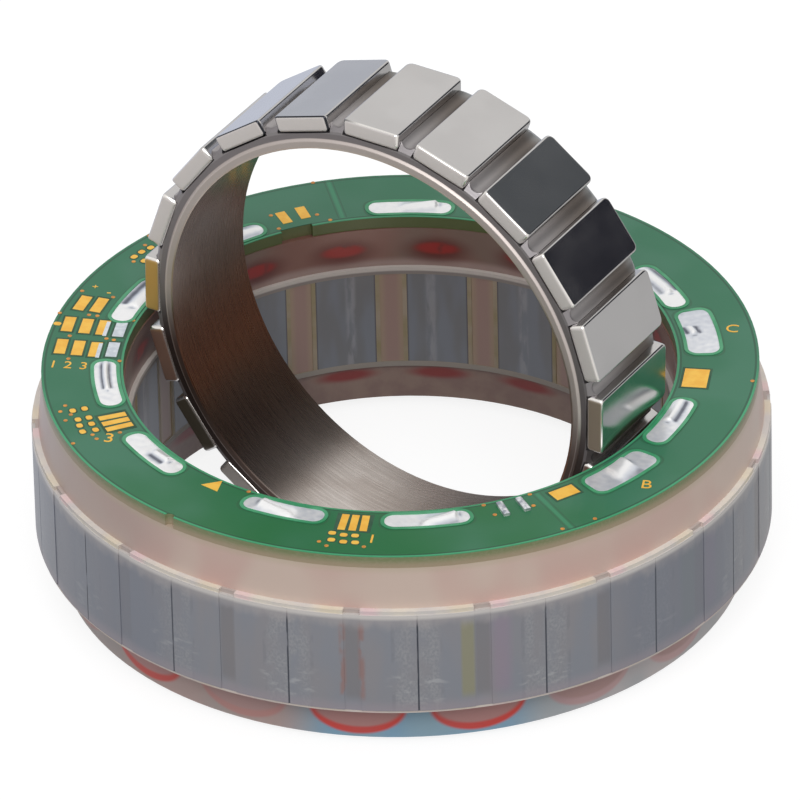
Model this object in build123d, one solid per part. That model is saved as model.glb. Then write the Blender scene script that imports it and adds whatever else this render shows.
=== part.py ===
from build123d import *
import os
from math import asin, cos, degrees, hypot, radians, sin, tan

# Frameless torque motor, in millimetres. A potted stator ring lies on its lower face, and the
# rotor ring with its surface magnets has been taken out and stood upright on its rim in the
# stator's bore. The origin is on the stator's axis, on the face it stands on. +Z is the
# stator's axis, and the rotor's axis runs along Y.

# Rotor sizes
magnet_count = 20
magnet_width = 7.26
magnet_length = 14.7
magnet_thickness = 2.1
magnet_corner_chamfer = 0.5
magnet_edge_chamfer = 0.3
first_magnet_angle = 16.89
hub_bore_radius = 26.5
hub_wall_at_flats = 1.78
rib_height = 1.0
rib_hollow = 0.4
rib_near_chamfer = 0.8
rib_far_chamfer_width = 1.0
rib_far_chamfer_height = 1.5
magnet_side_clearance = 0.03
lip_thickness = 1.15
lip_height = 0.25
magnet_proud_of_near_end = 0.1
hub_beyond_magnet_far_end = 0.45

# Where the rotor stands, measured from the stator's axis
rotor_offset_x = 0.25
rotor_offset_y = 0.6
standing_clearance = 0.06

# Stator core sizes
segment_count = 18
first_tooth_angle = 13.2
air_gap = 0.5
stack_height = 12.8
yoke_thickness = 4.288
stem_width = 5.4
shoe_width = 7.15
shoe_tip_thickness = 0.9
shoe_root_thickness = 2.0
shoe_end_step = 0.4
back_groove_width = 1.9
back_groove_depth = 0.08
joint_chamfer = 0.07

# Bobbin and coil sizes
lower_flange_thickness = 0.3
upper_flange_thickness = 0.5
sleeve_wall = 0.5
back_wall = 0.4
slot_liner_width = 0.5
bobbin_nose_depth = 2.25
flange_edge_setback = 0.1
flange_notch_width = 1.9
flange_notch_depth = 0.45
coil_depth = 4.5
coil_gap_at_bore_end = 1.3
coil_corner_chamfer = 3.2
lower_end_turn_height = 5.0
upper_end_turn_height = 4.5
phase_names = ("u", "v", "w")

# Potting sizes
foot_height = 5.9
foot_bore_step = 0.44
foot_inset = 2.9
foot_rim_chamfer_width = 1.2
foot_rim_chamfer_height = 0.75
foot_bore_chamfer_width = 2.3
foot_bore_chamfer_height = 1.45
slot_potting_recess = 0.1
head_height = 5.04
head_bore_step = 0.54
head_foot_inset = 0.8

# Circuit board sizes
board_thickness = 1.5
board_outer_inset = 1.35
board_bore_step = 0.7
edge_notch_radius = 0.6
edge_notch_angle = 261.7
bore_notch_depth = 0.5
bore_notch_angle = 143.1
bore_notch_half_angle = 3.5

# Solder joints on the board: the long slots of the coil ends, the two large phase slots
# beside their letters, and two small bars
coil_slot_width = 2.9
coil_slot_half_angle = 8.5
coil_slot_wall = 0.6
coil_slot_corner = 0.95
coil_slot_angles = (6.6, 57.5, 88.0, 118.9, 157.5, 186.0, 217.3, 244.9, 278.0, 306.0)
phase_slot_wall = 1.1
phase_slot_width = 4.0
phase_slot_half_angle = 8.0
phase_slot_corner = 0.8
phase_slot_angles = (39.4, 346.6)
solder_crown = 0.15
bar_length = 2.6
bar_width = 0.75
bar_height = 0.5
bar_chamfer = 0.15
bar_radius = 33.9
bar_angles = (320.8, 324.9)


def point(radius, angle):
    return (radius * cos(radians(angle)), radius * sin(radians(angle)))


def arc(radius, half_angle):
    return ThreePointArc(point(radius, -half_angle), (radius, 0), point(radius, half_angle))


def chord_half_angle(radius, chord):
    return degrees(asin(chord / 2 / radius))


def on_pitch_line(distance, side=1):
    return (distance, side * distance * tan(radians(half_pitch)))


def ring_sector(inner_radius, outer_radius, half_angle):
    side = Line(point(inner_radius, half_angle), point(outer_radius, half_angle))
    return make_face([
        side,
        mirror(side, about=Plane.XZ),
        arc(inner_radius, half_angle),
        arc(outer_radius, half_angle),
    ])


def flat_backed_sector(inner_radius, flat_back, half_angle):
    back = (flat_back, flat_back * tan(radians(half_angle)))
    side = Line(point(inner_radius, half_angle), back)
    return make_face([
        side,
        mirror(side, about=Plane.XZ),
        arc(inner_radius, half_angle),
        Line(back, (back[0], -back[1])),
    ])


def between(face, low, high):
    return extrude(Pos(0, 0, low) * face, high - low)


def save(shape, name):
    export_step(shape, "parts/" + name + ".step")


os.makedirs("parts", exist_ok=True)

# Rotor frame: the rotor is drawn about Z with its near end up, then laid over so that the near
# end faces -Y, and lifted until it clears the surface that the stator stands on.
hub_flat_apothem = hub_bore_radius + hub_wall_at_flats
magnet_outer_apothem = hub_flat_apothem + magnet_thickness
magnet_flat_half = magnet_width / 2 - magnet_edge_chamfer
rotor_swept_radius = hypot(magnet_outer_apothem, magnet_flat_half)
rotor_axis_height = rotor_swept_radius + standing_clearance
rotor_place = Pos(rotor_offset_x, rotor_offset_y, rotor_axis_height) * Rot(90, 0, 0)
magnet_pitch = 360 / magnet_count

# Rotor hub: a steel ring with a flat for each magnet, a hollow-topped rib between each two,
# and a turned lip round the bore at both ends. The ribs slope down at both ends.
rib_side = magnet_width / 2 + magnet_side_clearance
rib_top = hub_flat_apothem + rib_height
rib_hollow_radius = hypot(rib_top, rib_side) - rib_hollow
hub_outline = []
for number in range(magnet_count):
    turn = Rot(0, 0, first_magnet_angle + number * magnet_pitch)
    next_turn = Rot(0, 0, first_magnet_angle + (number + 1) * magnet_pitch)
    rib_start = turn * Pos(rib_top, rib_side)
    rib_end = next_turn * Pos(rib_top, -rib_side)
    rib_middle = turn * Rot(0, 0, magnet_pitch / 2) * Pos(rib_hollow_radius, 0)
    hub_outline += [
        turn * Line((rib_top, -rib_side), (hub_flat_apothem, -rib_side)),
        turn * Line((hub_flat_apothem, -rib_side), (hub_flat_apothem, rib_side)),
        turn * Line((hub_flat_apothem, rib_side), (rib_top, rib_side)),
        ThreePointArc(rib_start.position, rib_middle.position, rib_end.position),
    ]
hub_near = magnet_length / 2 - magnet_proud_of_near_end
hub_far = -magnet_length / 2 - hub_beyond_magnet_far_end
lip_radius = hub_bore_radius + lip_thickness
lip = Cone(lip_radius, lip_radius - lip_height, lip_height, align=(Align.CENTER, Align.CENTER, Align.MIN))
rib_tip_radius = hypot(rib_top, rib_side)
hub_blank = revolve(Plane.XZ * make_face(Polyline(
    (0, hub_far),
    (rib_tip_radius - rib_far_chamfer_width, hub_far),
    (rib_tip_radius + rib_far_chamfer_width, hub_far + 2 * rib_far_chamfer_height),
    (rib_tip_radius + rib_near_chamfer, hub_near - 2 * rib_near_chamfer),
    (rib_tip_radius - rib_near_chamfer, hub_near),
    (0, hub_near),
    close=True,
)), Axis.Z)
hub = hub_blank & between(make_face(hub_outline), hub_far, hub_near)
hub += Pos(0, 0, hub_near) * lip
hub += Pos(0, 0, hub_far) * Rot(180, 0, 0) * lip
hub -= Cylinder(hub_bore_radius, 2 * magnet_length)
save(rotor_place * hub, "rotor_hub")

# Magnets: sintered blocks with broken corners and outer edges, bonded to the hub's flats.
magnet = Box(magnet_thickness, magnet_width, magnet_length)
magnet = chamfer(magnet.edges().filter_by(Axis.X), magnet_corner_chamfer)
magnet = chamfer(magnet.faces().sort_by(Axis.X)[-1].edges(), magnet_edge_chamfer)
magnet = Pos(hub_flat_apothem + magnet_thickness / 2, 0, 0) * magnet
for number in range(magnet_count):
    turn = Rot(0, 0, first_magnet_angle + number * magnet_pitch)
    save(rotor_place * turn * magnet, f"magnet_{number + 1:02d}")

# Heights of the stator's layers, from the face it stands on
stack_low = foot_height + lower_flange_thickness
stack_high = stack_low + stack_height
head_low = stack_high + upper_flange_thickness
board_low = head_low + head_height
board_high = board_low + board_thickness

# Distances from the stator's axis, worked out from the rotor outwards
bore_radius = rotor_swept_radius + air_gap
coil_inner = bore_radius + bobbin_nose_depth
coil_outer = coil_inner + coil_depth
yoke_flat = coil_outer + back_wall
core_outer_radius = yoke_flat + yoke_thickness
shoe_root = bore_radius + shoe_root_thickness
half_pitch = 180 / segment_count
tooth_angles = [first_tooth_angle + number * 2 * half_pitch for number in range(segment_count)]

# Core segments: each a stack of T-shaped laminations with a yoke, a stem and a tooth shoe. The
# shoe is stepped at both ends for the bobbin's nose, and the back has a shallow groove.
shoe_half_angle = chord_half_angle(bore_radius, shoe_width)
shoe_tip = bore_radius + shoe_tip_thickness
segment_side = Polyline(
    point(bore_radius, shoe_half_angle),
    point(shoe_tip, shoe_half_angle),
    (shoe_root, stem_width / 2),
    (yoke_flat, stem_width / 2),
    on_pitch_line(yoke_flat),
    point(core_outer_radius, half_pitch),
)
segment_face = make_face([
    segment_side,
    mirror(segment_side, about=Plane.XZ),
    arc(bore_radius, shoe_half_angle),
    arc(core_outer_radius, half_pitch),
])
segment_face -= Pos(core_outer_radius, 0) * Rectangle(2 * back_groove_depth, back_groove_width)
segment = between(segment_face, stack_low, stack_high)
rim_edges = segment.edges().filter_by(Axis.Z).filter_by(
    lambda edge: abs(hypot(edge.center().X, edge.center().Y) - core_outer_radius) < 0.001
    and abs(edge.center().Y) > back_groove_width
)
segment = chamfer(rim_edges, joint_chamfer)
nose_step = Pos((bore_radius + coil_inner) / 2 - air_gap, 0) * Rectangle(
    bobbin_nose_depth + 2 * air_gap, 2 * shoe_width
)
segment -= between(nose_step, stack_low, stack_low + shoe_end_step)
segment -= between(nose_step, stack_high - shoe_end_step, stack_high)
for number, angle in enumerate(tooth_angles):
    save(Rot(0, 0, angle) * segment, f"core_segment_{number + 1:02d}")

# Bobbins: one moulding on each segment, with a nose at the bore, liners beside the tooth shoe,
# a sleeve round the stem, a back wall and a thin flange over both faces of the yoke. The upper
# flange is notched above the segment's back groove.
liner_half_angle = chord_half_angle(bore_radius, shoe_width + 2 * slot_liner_width)
nose_face = flat_backed_sector(bore_radius, coil_inner, liner_half_angle)
cap_face = flat_backed_sector(bore_radius, coil_inner, half_pitch)
sleeve_width = stem_width + 2 * sleeve_wall
sleeve_face = Pos((coil_inner + coil_outer) / 2, 0) * Rectangle(coil_depth, sleeve_width)
back_side = Line(on_pitch_line(coil_outer), on_pitch_line(yoke_flat))
back_face = make_face([
    back_side,
    mirror(back_side, about=Plane.XZ),
    Line(on_pitch_line(coil_outer), on_pitch_line(coil_outer, -1)),
    Line(on_pitch_line(yoke_flat), on_pitch_line(yoke_flat, -1)),
])
flange_radius = core_outer_radius - flange_edge_setback
flange_side = Line(on_pitch_line(yoke_flat), point(flange_radius, half_pitch))
flange_face = make_face([
    flange_side,
    mirror(flange_side, about=Plane.XZ),
    Line(on_pitch_line(yoke_flat), on_pitch_line(yoke_flat, -1)),
    arc(flange_radius, half_pitch),
])
flange_notch = Pos(core_outer_radius, 0) * Rectangle(2 * flange_notch_depth, flange_notch_width)
bobbin = between(nose_face + sleeve_face + back_face, foot_height, head_low)
bobbin += between(cap_face, foot_height, stack_low + shoe_end_step)
bobbin += between(cap_face, stack_high - shoe_end_step, head_low)
bobbin += between(flange_face, foot_height, stack_low)
bobbin += between(flange_face - flange_notch, stack_high, head_low)
bobbin -= segment
save(Compound(children=[Rot(0, 0, angle) * bobbin for angle in tooth_angles]), "bobbins")

# Coils: enamelled wire wound on the bobbins, with end turns that round over above and below.
# Every third tooth belongs to the same phase.
coil_width = 2 * coil_inner * tan(radians(half_pitch)) - coil_gap_at_bore_end
coil_low = foot_height - lower_end_turn_height
coil_high = head_low + upper_end_turn_height
coil = Pos((coil_inner + coil_outer) / 2, 0, (coil_low + coil_high) / 2) * Box(
    coil_depth, coil_width, coil_high - coil_low
)
coil = chamfer(coil.edges().filter_by(Axis.X), coil_corner_chamfer)
coil -= between(sleeve_face, foot_height, head_low)
for place, phase in enumerate(phase_names):
    phase_angles = tooth_angles[place::len(phase_names)]
    save(Compound(children=[Rot(0, 0, angle) * coil for angle in phase_angles]), "coils_phase_" + phase)

# Potting: one casting of resin that fills the slots and covers both rows of end turns. Its foot
# is chamfered at the rim and at the bore, and its head narrows slightly towards the board.
foot_radius = core_outer_radius - foot_inset
head_foot_radius = core_outer_radius - head_foot_inset
board_outer_radius = core_outer_radius - board_outer_inset
slot_bore_radius = bore_radius + slot_potting_recess
foot_bore_radius = bore_radius + foot_bore_step
potting_profile = make_face(Polyline(
    (foot_bore_radius, foot_bore_chamfer_height),
    (foot_bore_radius + foot_bore_chamfer_width, 0),
    (foot_radius - foot_rim_chamfer_width, 0),
    (foot_radius, foot_rim_chamfer_height),
    (foot_radius, foot_height),
    (yoke_flat + yoke_thickness / 2, foot_height),
    (yoke_flat + yoke_thickness / 2, head_low),
    (head_foot_radius, head_low),
    (board_outer_radius, board_low),
    (bore_radius + head_bore_step, board_low),
    (bore_radius + head_bore_step, head_low),
    (slot_bore_radius, head_low),
    (slot_bore_radius, foot_height),
    (foot_bore_radius, foot_height),
    close=True,
))
wound_tooth = segment + bobbin + coil
potting = revolve(Plane.XZ * potting_profile, Axis.Z)
potting -= [Rot(0, 0, angle) * wound_tooth for angle in tooth_angles]
save(potting, "potting")

# Circuit board: a flat ring of glass-fibre laminate bonded on the potting's head, with a slot
# for every pair of coil ends, a half-round notch in its rim and a shallow one in its bore.
board_bore_radius = bore_radius + board_bore_step
coil_slot_inner = board_bore_radius + coil_slot_wall
coil_slot = ring_sector(coil_slot_inner, coil_slot_inner + coil_slot_width, coil_slot_half_angle)
coil_slot = chamfer(coil_slot.vertices(), coil_slot_corner)
phase_slot_inner = board_bore_radius + phase_slot_wall
phase_slot = ring_sector(phase_slot_inner, phase_slot_inner + phase_slot_width, phase_slot_half_angle)
phase_slot = chamfer(phase_slot.vertices(), phase_slot_corner)
coil_slots = [Rot(0, 0, angle) * coil_slot for angle in coil_slot_angles]
phase_slots = [Rot(0, 0, angle) * phase_slot for angle in phase_slot_angles]
board_face = Circle(board_outer_radius) - Circle(board_bore_radius)
board_face -= Rot(0, 0, edge_notch_angle) * Pos(board_outer_radius, 0) * Circle(edge_notch_radius)
board_face -= Rot(0, 0, bore_notch_angle) * ring_sector(
    board_bore_radius - bore_notch_depth, board_bore_radius + bore_notch_depth, bore_notch_half_angle
)
board_face -= coil_slots + phase_slots
save(between(board_face, board_low, board_high), "circuit_board")

# Solder joints: each fills its slot in the board and stands slightly proud of it.
def filled(slots):
    return Compound(children=[between(slot, board_low, board_high + solder_crown) for slot in slots])


save(filled(coil_slots), "coil_solder_joints")
save(filled(phase_slots), "phase_solder_joints")

# Two short soldered bars lie across the board between the phase slots.
bar = Pos(bar_radius, 0, board_high + bar_height / 2) * Box(bar_length, bar_width, bar_height)
bar = chamfer(bar.faces().sort_by(Axis.Z)[-1].edges(), bar_chamfer)
save(Compound(children=[Rot(0, 0, angle) * bar for angle in bar_angles]), "solder_bars")
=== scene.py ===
import math

import bmesh
import bpy
import mathutils
from mathutils import Matrix, Vector


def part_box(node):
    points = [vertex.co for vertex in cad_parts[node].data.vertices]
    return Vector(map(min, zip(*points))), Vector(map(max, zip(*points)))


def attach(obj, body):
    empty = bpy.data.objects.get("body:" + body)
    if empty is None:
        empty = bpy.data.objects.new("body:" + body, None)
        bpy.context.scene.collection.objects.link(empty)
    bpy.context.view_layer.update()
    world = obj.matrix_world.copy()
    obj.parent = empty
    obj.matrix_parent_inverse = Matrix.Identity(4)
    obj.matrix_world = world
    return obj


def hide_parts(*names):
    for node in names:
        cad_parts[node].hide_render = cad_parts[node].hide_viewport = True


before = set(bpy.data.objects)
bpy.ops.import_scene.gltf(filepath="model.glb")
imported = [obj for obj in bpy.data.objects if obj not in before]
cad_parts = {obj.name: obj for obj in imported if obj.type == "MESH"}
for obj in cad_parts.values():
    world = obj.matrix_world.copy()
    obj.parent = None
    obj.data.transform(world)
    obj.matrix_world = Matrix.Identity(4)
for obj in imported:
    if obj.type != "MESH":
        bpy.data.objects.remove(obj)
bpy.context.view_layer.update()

# The camera looks down at 32 degrees from the photograph's side, through a long lens, so that the
# stator's rims stay almost parallel. The object's lengths are written in millimetres, which MM
# turns into metres, and the room's in metres.
MM = 0.001
CAMERA_TURN = math.radians(31.57)
CAMERA_DOWN = math.radians(32.28)
CAMERA_ROLL = math.radians(1.35)
CAMERA_AIM = Vector((0, 0, 19.5))
CAMERA_BACK = Vector((-0.15, 1.07, 1409.3))
CAMERA_LENS = 552.2
CAMERA_SENSOR = 36
CAMERA_SEES = (0.1, 20)

turned = Matrix.Rotation(CAMERA_TURN, 3, "Z") @ Matrix.Rotation(math.pi / 2 - CAMERA_DOWN, 3, "X")
turned = turned @ Matrix.Rotation(-CAMERA_ROLL, 3, "Z")
camera = bpy.data.objects.new("camera", bpy.data.cameras.new("camera"))
bpy.context.scene.collection.objects.link(camera)
camera.data.lens = CAMERA_LENS
camera.data.sensor_width = CAMERA_SENSOR
camera.data.clip_start, camera.data.clip_end = CAMERA_SEES
camera.location = (CAMERA_AIM + turned @ CAMERA_BACK) * MM
camera.rotation_euler = turned.to_euler()
bpy.context.scene.camera = camera
bpy.context.scene.view_settings.view_transform = "Standard"


# The studio: a pale room, dimmer on the left, one large soft lamp above the front, and behind the
# object a dark card that polished metal reflects, near black below and grey above. Metal sees a
# cooler room on the left, low down. The background is white.


def radians(*angles):
    """Angles given in degrees."""
    return [math.radians(angle) for angle in angles]


WHITE = (1, 1, 1, 1)
ROOM_LIGHT = (0.74, 0.74, 0.74, 1)
ROOM_LIGHT_LEFT = (0.46, 0.47, 0.5, 1)
LEFT_TURN = math.radians(-148)
LEFT_REACH = 0.9
ROOM_IN_METAL = (0.82, 0.81, 0.8, 1)
COOL_IN_METAL = (0.6, 0.63, 0.7, 1)
COOL_TURN = radians(100, 125)
COOL_FALL = radians(26, 14)
CARD_DARK = (0.02, 0.021, 0.03, 1)
CARD_GREY = (0.105, 0.115, 0.125, 1)
CARD_TURN = radians(33, 76)
CARD_RISE = radians(3, 62)
CARD_CHANGE = radians(29, 32)
CARD_SOFT = math.radians(4)
LAMP_PLACE = Vector((0.36, -0.78, 1.05))
LAMP_SIZE = 0.8
LAMP_POWER = 7.9


def feed(tree, socket, value):
    """Links a socket to another node's output, or sets its own value."""
    if isinstance(value, bpy.types.NodeSocket):
        tree.links.new(value, socket)
    else:
        socket.default_value = value


def add_node(tree, kind, inputs=None, **settings):
    """Adds a shader node with its settings and what goes into its sockets."""
    node = tree.nodes.new("ShaderNode" + kind)
    for name, value in settings.items():
        setattr(node, name, value)
    for socket, value in (inputs or {}).items():
        feed(tree, node.inputs[socket], value)
    return node


def reckon(tree, operation, *values):
    return add_node(tree, "Math", dict(enumerate(values)), operation=operation).outputs[0]


def fade(tree, value, low, high):
    """Rises softly from 0 to 1 while the value goes from low to high."""
    inputs = {"Value": value, "From Min": low, "From Max": high}
    return add_node(tree, "MapRange", inputs, interpolation_type="SMOOTHSTEP").outputs[0]


def band(tree, value, low, high, soft):
    """1 between low and high, with edges of the given softness."""
    rise = fade(tree, value, low - soft / 2, low + soft / 2)
    return reckon(tree, "SUBTRACT", rise, fade(tree, value, high - soft / 2, high + soft / 2))


def both(tree, *masks):
    """The product of masks: 1 where all of them are."""
    mask = masks[0]
    for other in masks[1:]:
        mask = reckon(tree, "MULTIPLY", mask, other)
    return mask


def mixed(tree, mask, first, second):
    """The first colour, or the second where the mask is 1."""
    node = add_node(tree, "Mix", {0: mask, 6: first, 7: second}, data_type="RGBA")
    return node.outputs[2]


world = bpy.data.worlds.new("studio")
world.use_nodes = True
bpy.context.scene.world = world
room = world.node_tree
direction = add_node(room, "SeparateXYZ", {0: add_node(room, "TexCoord").outputs["Generated"]}).outputs
turn = reckon(room, "ARCTAN2", direction["Y"], direction["X"])
rise = reckon(room, "ARCSINE", direction["Z"])
card = both(room, band(room, turn, *CARD_TURN, CARD_SOFT), band(room, rise, *CARD_RISE, CARD_SOFT))
card_shade = mixed(room, fade(room, rise, *CARD_CHANGE), CARD_DARK, CARD_GREY)
cool = both(room, fade(room, turn, *COOL_TURN), fade(room, rise, *COOL_FALL))
metal_sees = mixed(room, card, mixed(room, cool, ROOM_IN_METAL, COOL_IN_METAL), card_shade)
ray = add_node(room, "LightPath").outputs
leftward = reckon(room, "MULTIPLY", direction["Y"], math.sin(LEFT_TURN))
leftward = reckon(room, "MULTIPLY_ADD", direction["X"], math.cos(LEFT_TURN), leftward)
plain_sees = mixed(room, fade(room, leftward, 0, LEFT_REACH), ROOM_LIGHT, ROOM_LIGHT_LEFT)
shown = mixed(room, ray["Is Glossy Ray"], plain_sees, metal_sees)
seen = reckon(room, "MAXIMUM", ray["Is Camera Ray"], ray["Is Transmission Ray"])
shown = mixed(room, seen, shown, WHITE)
room.links.new(shown, room.nodes["Background"].inputs["Color"])

lamp = bpy.data.objects.new("soft_lamp", bpy.data.lights.new("soft_lamp", "AREA"))
lamp.data.size = LAMP_SIZE
lamp.data.energy = LAMP_POWER
lamp.location = LAMP_PLACE
lamp.rotation_euler = (-LAMP_PLACE).to_track_quat("-Z", "Y").to_euler()
bpy.context.scene.collection.objects.link(lamp)

# The floor is a plain pale table top. Part of its white is its own, so that the object's shadow
# on it stays faint, and metal sees it as a light grey, brighter in front and cooler on the left.
FLOOR_SIZE = 6
FLOOR_BELOW = 0.00002
FLOOR_PAINT = (0.2, 0.2, 0.2, 1)
FLOOR_OWN_WHITE = (0.86, 0.86, 0.86, 1)
NO_LIGHT = (0, 0, 0, 1)
FLOOR_FRONT_IN_METAL = (0.6, 0.58, 0.56, 1)
FLOOR_BACK_IN_METAL = (0.37, 0.37, 0.37, 1)
FLOOR_LEFT_IN_METAL = (0.47, 0.51, 0.62, 1)
FLOOR_LEFT = (0.05, -0.12)
FLOOR_FRONT = (0.05, -0.1)


def new_finish(name, **constants):
    """A material, its nodes, its shader with its plain values set, and its object coordinates."""
    material = bpy.data.materials.new(name)
    material.use_nodes = True
    shader = material.node_tree.nodes["Principled BSDF"]
    for socket, value in constants.items():
        shader.inputs[socket.replace("_", " ").replace("Ior", "IOR")].default_value = value
    here = add_node(material.node_tree, "TexCoord").outputs["Object"]
    return material, material.node_tree, shader, here


bm = bmesh.new()
bmesh.ops.create_grid(bm, x_segments=1, y_segments=1, size=FLOOR_SIZE / 2)
bmesh.ops.translate(bm, verts=bm.verts, vec=(0, 0, -FLOOR_BELOW))
floor = bpy.data.objects.new("floor", bpy.data.meshes.new("floor"))
bm.to_mesh(floor.data)
bm.free()
bpy.context.scene.collection.objects.link(floor)
floor_finish, tree, shader, here = new_finish(
    "floor", Base_Color=FLOOR_PAINT, Roughness=0.9, Specular_Ior_Level=0, Emission_Strength=1
)
place = add_node(tree, "SeparateXYZ", {0: here}).outputs
metal_sees = mixed(tree, fade(tree, place["X"], *FLOOR_LEFT), FLOOR_BACK_IN_METAL, FLOOR_LEFT_IN_METAL)
metal_sees = mixed(tree, fade(tree, place["Y"], *FLOOR_FRONT), metal_sees, FLOOR_FRONT_IN_METAL)
ray = add_node(tree, "LightPath").outputs
seen = reckon(tree, "MAXIMUM", ray["Is Camera Ray"], ray["Is Transmission Ray"])
own_white = mixed(tree, seen, NO_LIGHT, FLOOR_OWN_WHITE)
own_white = mixed(tree, ray["Is Glossy Ray"], own_white, metal_sees)
tree.links.new(own_white, shader.inputs["Emission Color"])
floor.data.materials.append(floor_finish)


# Core segments: 18 stacks of thin electrical steel, stamped as a yoke, a stem and a tooth shoe.
# They are bare steel, streaked by grinding, with a shallow groove down each one's back, and
# their yokes meet at fine dark joints.
TEETH = 18
TOOTH_STEP = math.tau / TEETH
FIRST_TOOTH = math.radians(13.2)
BORE_RADIUS = 31.06
RIM_RADIUS = 42.5
SEGMENT_HALF = TOOTH_STEP / 2 * RIM_RADIUS
SHOE_HALF = 3.55
GROOVE_HALF = 0.95
stack_low, stack_high = (corner.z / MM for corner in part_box("core_segment_01"))
# Each tooth has a number from 0 to 1, which this seed draws, and then come the numbers of the
# segments with rust, with a yellow smear and with a green one.
TOOTH_DRAW = 8890
RUSTY_ONES = (0.2, 0.19)
YELLOW_ONES = (0.3, 0.42, 0.02)
GREEN_ONES = (0.84, 0.88)
# Where a smear begins and ends, in millimetres left of the middle, and how soft its edges are.
# Rust lies on both sides.
RUST = (GROOVE_HALF - 0.2, GROOVE_HALF + 0.45, 0.5)
YELLOW = (1.0, 2.5, 0.5)
GREEN = (0.8, 3.2, 1.2)
PURPLE = (-3.2, -1.1, 1.4)
# Beside a joint, by distance from the segment's middle: where the ground part begins, the step
# there, how far in the pale smears reach, and the joint's own dark line.
GROUND = (SEGMENT_HALF - 3.1, SEGMENT_HALF - 1.9)
STEP = (SEGMENT_HALF - 3.0, SEGMENT_HALF - 2.6, 0.2)
SMEARED = (SEGMENT_HALF - 4, SEGMENT_HALF - 2)
JOINT = (SEGMENT_HALF - 0.16, SEGMENT_HALF - 0.04)
# Turns in radians, with softness, where the steel gets painted shade and a cool painted reflection.
COOL_REFLECTION_LEFT = radians(-160, -98, 16)
COOL_REFLECTION_RIGHT = radians(-24, 4, 12)


def colour(red, green, blue):
    """A colour given as it is seen, in steps up to 255."""
    return (*(((step / 255 + 0.055) / 1.055) ** 2.4 for step in (red, green, blue)), 1)


def blended(tree, value, first, second, low=0.35, high=0.65):
    """From one colour to another while the value goes from low to high."""
    return mixed(tree, fade(tree, value, low, high), colour(*first), colour(*second))


def tinted(tree, shade, tint, *masks):
    """A shade with a tint laid over it where all the masks are."""
    return mixed(tree, both(tree, *masks), shade, colour(*tint))


def hypotenuse(tree, one, other):
    """The long side of a right triangle from its two legs."""
    squared = reckon(tree, "MULTIPLY", other, other)
    return reckon(tree, "SQRT", reckon(tree, "MULTIPLY_ADD", one, one, squared))


def noise(tree, place, size, stretch=(1, 1, 1), detail=2.0, seed=0.0):
    """Cloudy values round 0.5. Size is a cloud's width in millimetres, stretched along the axes."""
    scale = [1 / (size * MM * factor) for factor in stretch]
    mapping = add_node(tree, "Mapping", {"Vector": place, "Location": (seed,) * 3, "Scale": scale})
    texture = add_node(tree, "TexNoise", {"Vector": mapping.outputs[0], "Scale": 1.0, "Detail": detail})
    return texture.outputs[0]


def paint(tree, shader, shade):
    tree.links.new(shade, shader.inputs["Base Color"])


def bump(tree, shader, height, depth):
    """Turns a pattern of heights into relief of the given depth in millimetres."""
    node = add_node(tree, "Bump", {"Height": height, "Distance": depth * MM, "Strength": 1.0})
    tree.links.new(node.outputs[0], shader.inputs["Normal"])


def place_group(name, outputs):
    """An empty node group that tells where a point is, and its object coordinates in millimetres."""
    group = bpy.data.node_groups.new(name, "ShaderNodeTree")
    for output in outputs:
        group.interface.new_socket(output, in_out="OUTPUT", socket_type="NodeSocketFloat")
    place = add_node(group, "TexCoord").outputs["Object"]
    scaled = add_node(group, "VectorMath", {0: place, "Scale": 1 / MM}, operation="SCALE").outputs[0]
    return group, add_node(group, "SeparateXYZ", {0: scaled}).outputs


def close_group(group, **values):
    """Hands the values over to the group's outputs."""
    end = group.nodes.new("NodeGroupOutput")
    for output, value in values.items():
        group.links.new(value, end.inputs[output.replace("_", " ")])


def use_group(tree, group):
    node = tree.nodes.new("ShaderNodeGroup")
    node.node_tree = group
    return node.outputs


# Off Tooth is the distance along the arc from the middle of the nearest tooth, and Chance is the
# tooth's own number from 0 to 1.
group, place = place_group("places on the stator", ("Radius", "Height", "Off Tooth", "Chance", "Turn"))
stator_places = group
radius = hypotenuse(group, place["X"], place["Y"])
turn = reckon(group, "ARCTAN2", place["Y"], place["X"])
teeth_round = reckon(group, "MULTIPLY_ADD", turn, 1 / TOOTH_STEP, 0.5 - FIRST_TOOTH / TOOTH_STEP)
tooth = reckon(group, "FLOOR", teeth_round)
off_turn = reckon(group, "SUBTRACT", reckon(group, "SUBTRACT", teeth_round, tooth), 0.5)
off_tooth = reckon(group, "MULTIPLY", reckon(group, "MULTIPLY", off_turn, TOOTH_STEP), radius)
number = reckon(group, "ADD", reckon(group, "FLOORED_MODULO", tooth, TEETH), TOOTH_DRAW)
chance = add_node(group, "TexWhiteNoise", {"W": number}, noise_dimensions="1D").outputs["Value"]
close_group(group, Radius=radius, Height=place["Z"], Off_Tooth=off_tooth, Chance=chance, Turn=turn)


def unroll(tree, spot):
    """The stator's wall laid out flat in metres, so that each segment gets its own marks."""
    along = reckon(tree, "MULTIPLY_ADD", spot["Chance"], 900, spot["Off Tooth"])
    flat = add_node(tree, "CombineXYZ", {0: along, 2: spot["Height"]}).outputs[0]
    return add_node(tree, "VectorMath", {0: flat, "Scale": MM}, operation="SCALE").outputs[0]


def dress(finish, *nodes):
    """Gives CAD nodes a finish."""
    for name in nodes:
        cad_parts[name].material_slots[0].material = finish


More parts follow.
